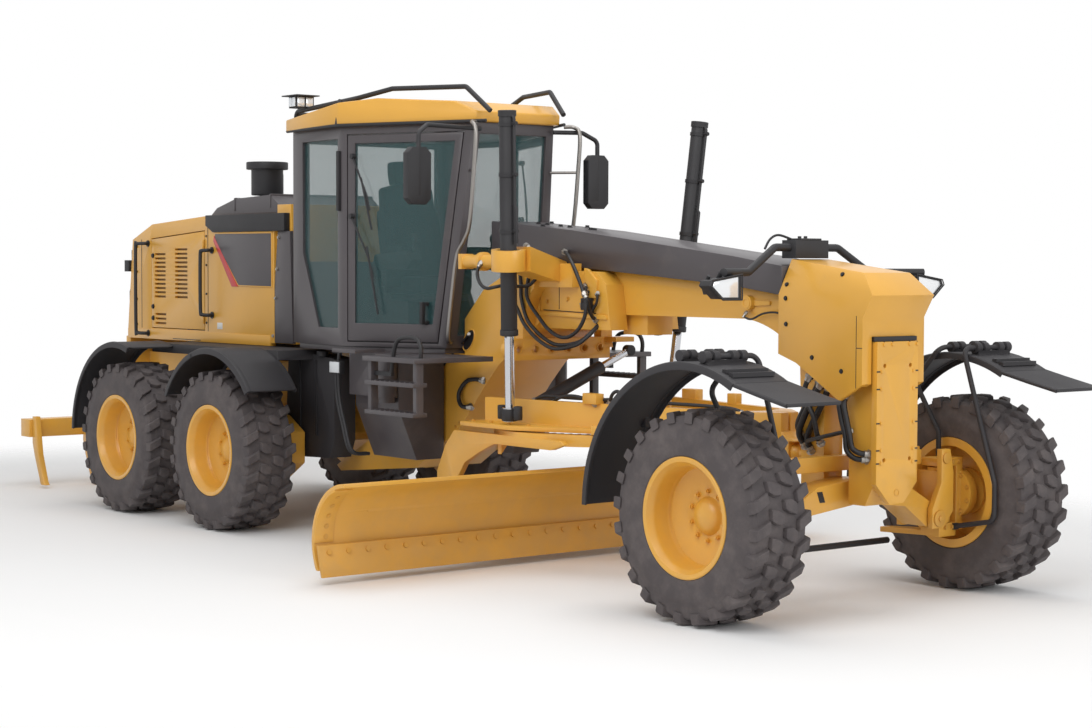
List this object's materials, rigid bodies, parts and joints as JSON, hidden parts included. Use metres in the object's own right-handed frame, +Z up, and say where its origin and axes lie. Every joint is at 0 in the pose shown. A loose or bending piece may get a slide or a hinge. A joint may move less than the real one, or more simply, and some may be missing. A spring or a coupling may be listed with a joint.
{
  "type": "motor grader",
  "caption": "Six-wheel articulated motor grader: arched front beam, leaning front wheels, angled cab, turning blade under the frame and a rear ripper.",
  "frame": {"origin": "on the ground under the middle of the whole machine's length and width", "axes": "+X forward along the machine, +Y to its left, +Z up"},
  "size_m": [10.13, 4.267, 3.3179],
  "materials": {
    "yellow_paint": "semi-gloss golden yellow enamel",
    "grey_paint": "satin dark grey enamel",
    "black_plastic": "textured black plastic and powder coat",
    "chrome_rod": "ground and plated rod",
    "tinted_glass": "teal tinted safety glass",
    "seat_cloth": "dark woven cloth on black plastic",
    "engine_iron": "painted cast iron",
    "tyre_rubber": "matt rubber"
  },
  "bodies": {
    "front_frame": {"front_frame": "yellow_paint", "nose_cover": "yellow_paint", "beam_cover": "grey_paint", "axle_beam": "yellow_paint", "lift_saddle": "yellow_paint", "cab_frame": "grey_paint", "cab_glass": "tinted_glass", "cab_roof": "yellow_paint", "operator_seat": "seat_cloth", "mirrors": "black_plastic", "cab_rails": "black_plastic", "access_steps": "grey_paint", "under_cab_tanks": "grey_paint", "lamp_bar": "black_plastic"},
    "rear_frame": {"rear_frame": "yellow_paint", "engine_block": "engine_iron", "engine_hood": "yellow_paint", "rear_guard": "black_plastic", "air_cleaner": "black_plastic", "tandem_cases": "yellow_paint", "rear_fenders": "black_plastic"},
    "lean_yoke_left": {"lean_yoke_left": "yellow_paint"},
    "lean_yoke_right": {"lean_yoke_right": "yellow_paint"},
    "lean_bar": {"lean_bar": "yellow_paint"},
    "tie_rod": {"tie_rod": "grey_paint"},
    "knuckle_left": {"knuckle_left": "yellow_paint", "front_fender_left": "black_plastic"},
    "knuckle_right": {"knuckle_right": "yellow_paint", "front_fender_right": "black_plastic"},
    "drawbar": {"drawbar": "yellow_paint"},
    "lift_cylinders": {"lift_cylinders": "grey_paint"},
    "lift_rod_left": {"lift_rod_left": "chrome_rod"},
    "lift_rod_right": {"lift_rod_right": "chrome_rod"},
    "shift_cylinder": {"shift_cylinder": "grey_paint"},
    "shift_rod": {"shift_rod": "chrome_rod"},
    "circle": {"circle": "yellow_paint"},
    "blade_bracket": {"blade_bracket": "yellow_paint"},
    "blade": {"moldboard": "yellow_paint", "cutting_edge": "yellow_paint"},
    "door_left": {"door_left": "grey_paint", "door_glass_left": "tinted_glass"},
    "door_right": {"door_right": "grey_paint", "door_glass_right": "tinted_glass"},
    "engine_door_left": {"engine_door_left": "yellow_paint"},
    "engine_door_right": {"engine_door_right": "yellow_paint"},
    "ripper": {"ripper": "yellow_paint"},
    "ripper_cylinder": {"ripper_cylinder": "grey_paint"},
    "ripper_rod": {"ripper_rod": "chrome_rod"},
    "wheel_front_left": {"tyre_front_left": "tyre_rubber", "rim_front_left": "yellow_paint"},
    "wheel_front_right": {"tyre_front_right": "tyre_rubber", "rim_front_right": "yellow_paint"},
    "wheel_tandem_front_left": {"tyre_tandem_front_left": "tyre_rubber", "rim_tandem_front_left": "yellow_paint"},
    "wheel_tandem_front_right": {"tyre_tandem_front_right": "tyre_rubber", "rim_tandem_front_right": "yellow_paint"},
    "wheel_tandem_rear_left": {"tyre_tandem_rear_left": "tyre_rubber", "rim_tandem_rear_left": "yellow_paint"},
    "wheel_tandem_rear_right": {"tyre_tandem_rear_right": "tyre_rubber", "rim_tandem_rear_right": "yellow_paint"}
  },
  "joints": [
    {"name": "articulation", "type": "hinge", "parent": "front_frame", "child": "rear_frame", "pos_m": [-0.655, 0, 0.7], "axis": [0, 0, 1], "range_deg": [-20, 20]},
    {"name": "drawbar_lift", "type": "hinge", "parent": "front_frame", "child": "drawbar", "pos_m": [3.815, 0, 0.88], "axis": [0, -1, 0], "range_deg": [-9, 20]},
    {"name": "lift_cylinder_swing", "type": "hinge", "parent": "front_frame", "child": "lift_cylinders", "pos_m": [1.92177, 0, 2.06], "axis": [0, 1, 0], "range_deg": [-15, 15]},
    {"name": "lift_rod_left", "type": "slide", "parent": "lift_cylinders", "child": "lift_rod_left", "axis": [-0.0723, -0.0704, -0.9949], "range_m": [-0.6, 1.2]},
    {"name": "lift_rod_right", "type": "slide", "parent": "lift_cylinders", "child": "lift_rod_right", "axis": [-0.0723, 0.0704, -0.9949], "range_m": [-0.6, 1.2]},
    {"name": "shift_cylinder_swing", "type": "hinge", "parent": "drawbar", "child": "shift_cylinder", "pos_m": [1.715, -0.485, 1.035], "axis": [1, 0, 0], "range_deg": [-45, 60]},
    {"name": "shift_rod_travel", "type": "slide", "parent": "shift_cylinder", "child": "shift_rod", "axis": [0, 0.9212, 0.3892], "range_m": [-0.4, 0.9]},
    {"name": "circle_turn", "type": "hinge", "parent": "drawbar", "child": "circle", "pos_m": [1.995, 0, 0.925], "axis": [0, 0, 1], "range_deg": [-22, 45]},
    {"name": "blade_pitch", "type": "hinge", "parent": "circle", "child": "blade_bracket", "pos_m": [1.445, 0, 0.33], "axis": [0, 1, 0], "range_deg": [-5, 40]},
    {"name": "blade_sideshift", "type": "slide", "parent": "blade_bracket", "child": "blade", "axis": [0, 1, 0], "range_m": [-0.66, 0.51]},
    {"name": "wheel_lean_left", "type": "hinge", "parent": "front_frame", "child": "lean_yoke_left", "pos_m": [4.245, 0.66, 0.48], "axis": [-1, 0, 0], "range_deg": [-18, 18]},
    {"name": "steer_left", "type": "hinge", "parent": "lean_yoke_left", "child": "knuckle_left", "pos_m": [4.245, 0.82, 0.612], "axis": [0, 0, 1], "range_deg": [-40, 40]},
    {"name": "spin_front_left", "type": "hinge", "parent": "knuckle_left", "child": "wheel_front_left", "pos_m": [4.245, 1.125, 0.612], "axis": [0, 1, 0], "continuous": true},
    {"name": "wheel_lean_right", "type": "hinge", "parent": "front_frame", "child": "lean_yoke_right", "pos_m": [4.245, -0.66, 0.48], "axis": [-1, 0, 0], "range_deg": [-18, 18]},
    {"name": "steer_right", "type": "hinge", "parent": "lean_yoke_right", "child": "knuckle_right", "pos_m": [4.245, -0.82, 0.612], "axis": [0, 0, 1], "range_deg": [-40, 40]},
    {"name": "spin_front_right", "type": "hinge", "parent": "knuckle_right", "child": "wheel_front_right", "pos_m": [4.245, -1.125, 0.612], "axis": [0, 1, 0], "continuous": true},
    {"name": "spin_tandem_front_left", "type": "hinge", "parent": "rear_frame", "child": "wheel_tandem_front_left", "pos_m": [-1.1165, 1.125, 0.612], "axis": [0, 1, 0], "continuous": true},
    {"name": "spin_tandem_front_right", "type": "hinge", "parent": "rear_frame", "child": "wheel_tandem_front_right", "pos_m": [-1.1165, -1.125, 0.612], "axis": [0, 1, 0], "continuous": true},
    {"name": "spin_tandem_rear_left", "type": "hinge", "parent": "rear_frame", "child": "wheel_tandem_rear_left", "pos_m": [-2.6395, 1.125, 0.612], "axis": [0, 1, 0], "continuous": true},
    {"name": "spin_tandem_rear_right", "type": "hinge", "parent": "rear_frame", "child": "wheel_tandem_rear_right", "pos_m": [-2.6395, -1.125, 0.612], "axis": [0, 1, 0], "continuous": true},
    {"name": "lean_bar_travel", "type": "slide", "parent": "front_frame", "child": "lean_bar", "axis": [0, 1, 0], "range_m": [-0.13, 0.13]},
    {"name": "tie_rod_travel", "type": "slide", "parent": "front_frame", "child": "tie_rod", "axis": [0, 1, 0], "range_m": [-0.25, 0.25]},
    {"name": "cab_door_left", "type": "hinge", "parent": "front_frame", "child": "door_left", "pos_m": [-0.055, 0.8, 1.5], "axis": [0, 0, 1], "range_deg": [0, 75]},
    {"name": "engine_door_left", "type": "hinge", "parent": "rear_frame", "child": "engine_door_left", "pos_m": [-2.561, 0.556, 1.5], "axis": [0, 0, -1], "range_deg": [0, 105]},
    {"name": "cab_door_right", "type": "hinge", "parent": "front_frame", "child": "door_right", "pos_m": [-0.055, -0.8, 1.5], "axis": [0, 0, -1], "range_deg": [0, 75]},
    {"name": "engine_door_right", "type": "hinge", "parent": "rear_frame", "child": "engine_door_right", "pos_m": [-2.561, -0.556, 1.5], "axis": [0, 0, 1], "range_deg": [0, 105]},
    {"name": "ripper_lift", "type": "hinge", "parent": "rear_frame", "child": "ripper", "pos_m": [-4.175, 0, 0.72], "axis": [0, 1, 0], "range_deg": [-28, 25]},
    {"name": "ripper_cylinder_swing", "type": "hinge", "parent": "rear_frame", "child": "ripper_cylinder", "pos_m": [-4.095, 0, 1.25], "axis": [0, 1, 0], "range_deg": [-30, 30]},
    {"name": "ripper_rod_travel", "type": "slide", "parent": "ripper_cylinder", "child": "ripper_rod", "axis": [-0.7625, 0, -0.647], "range_m": [-0.5, 0.5]}
  ],
  "couplings": [
    {"joint": "lift_cylinder_swing", "follows": "drawbar_lift", "ratio": -0.15663},
    {"joint": "lift_rod_left", "follows": "drawbar_lift", "m_per_rad": 1.9508},
    {"joint": "lift_rod_right", "follows": "drawbar_lift", "m_per_rad": 1.9508},
    {"joint": "shift_cylinder_swing", "follows": "drawbar_lift", "ratio": 1.498},
    {"joint": "shift_rod_travel", "follows": "drawbar_lift", "m_per_rad": 1.0796},
    {"joint": "wheel_lean_right", "follows": "wheel_lean_left", "ratio": 1},
    {"joint": "lean_bar_travel", "follows": "wheel_lean_left", "m_per_rad": 0.37},
    {"joint": "steer_right", "follows": "steer_left", "ratio": 1},
    {"joint": "tie_rod_travel", "follows": "steer_left", "m_per_rad": -0.3},
    {"joint": "ripper_cylinder_swing", "follows": "ripper_lift", "ratio": 0.53341},
    {"joint": "ripper_rod_travel", "follows": "ripper_lift", "m_per_rad": -0.34199}
  ]
}
